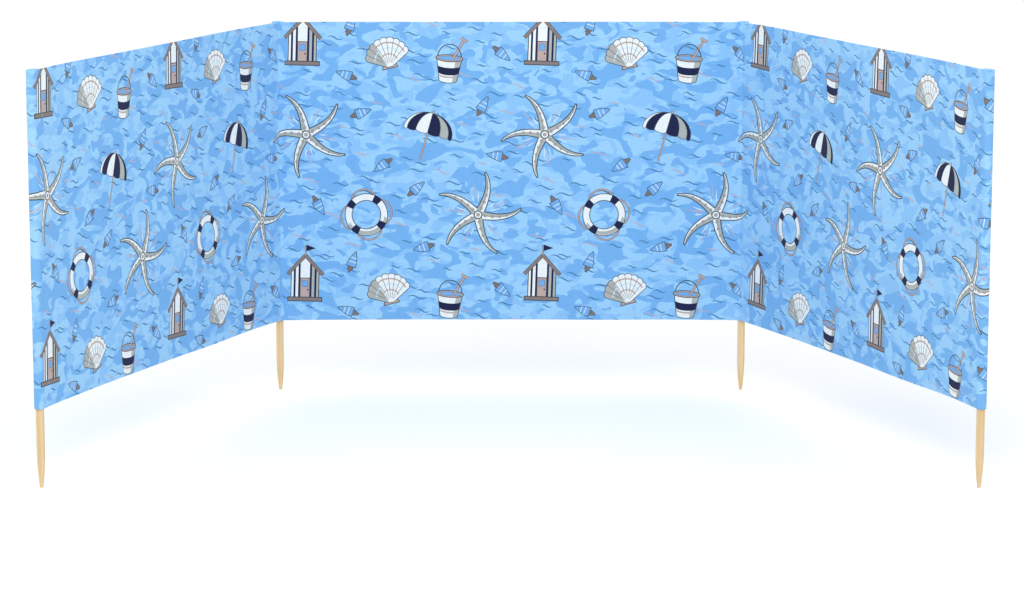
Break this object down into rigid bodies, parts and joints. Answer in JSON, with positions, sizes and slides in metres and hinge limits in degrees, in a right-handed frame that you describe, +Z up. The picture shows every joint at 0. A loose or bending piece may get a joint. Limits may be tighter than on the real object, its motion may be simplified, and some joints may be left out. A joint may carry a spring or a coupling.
{
  "type": "beach windbreak",
  "caption": "Row of printed cloth bays on pointed wooden poles, with a closed tunnel sewn round each pole and side bays that swing on the inner poles.",
  "frame": {"origin": "centre of the left inner pole's flat tip", "axes": "+X along the middle bay to the right inner pole, +Y to the weather side, +Z up the poles"},
  "size_m": [2.259, 1.1707, 1.0008],
  "materials": {
    "pole_wood": "sanded, unvarnished",
    "panel_cloth": "plain weave, printed",
    "seam_cloth": "plain weave, printed"
  },
  "bodies": {
    "centre_bay": {"left_inner_pole": "pole_wood", "right_inner_pole": "pole_wood", "left_inner_sleeve": "seam_cloth", "right_inner_sleeve": "seam_cloth", "centre_panel": "panel_cloth", "centre_top_hem": "seam_cloth", "centre_bottom_hem": "seam_cloth"},
    "left_bay": {"left_panel_binding": "seam_cloth", "left_panel": "panel_cloth", "left_top_hem": "seam_cloth", "left_bottom_hem": "seam_cloth", "left_outer_pole": "pole_wood", "left_outer_sleeve": "seam_cloth"},
    "right_bay": {"right_panel_binding": "seam_cloth", "right_panel": "panel_cloth", "right_top_hem": "seam_cloth", "right_bottom_hem": "seam_cloth", "right_outer_pole": "pole_wood", "right_outer_sleeve": "seam_cloth"}
  },
  "joints": [
    {"name": "left_bay_swing", "type": "hinge", "parent": "centre_bay", "child": "left_bay", "pos_m": [0, 0, 0], "axis": [0, 0, 1], "range_deg": [-185.75, 52.25]},
    {"name": "right_bay_swing", "type": "hinge", "parent": "centre_bay", "child": "right_bay", "pos_m": [1.25, 0, 0], "axis": [0, 0, -1], "range_deg": [-185.75, 52.25]}
  ]
}
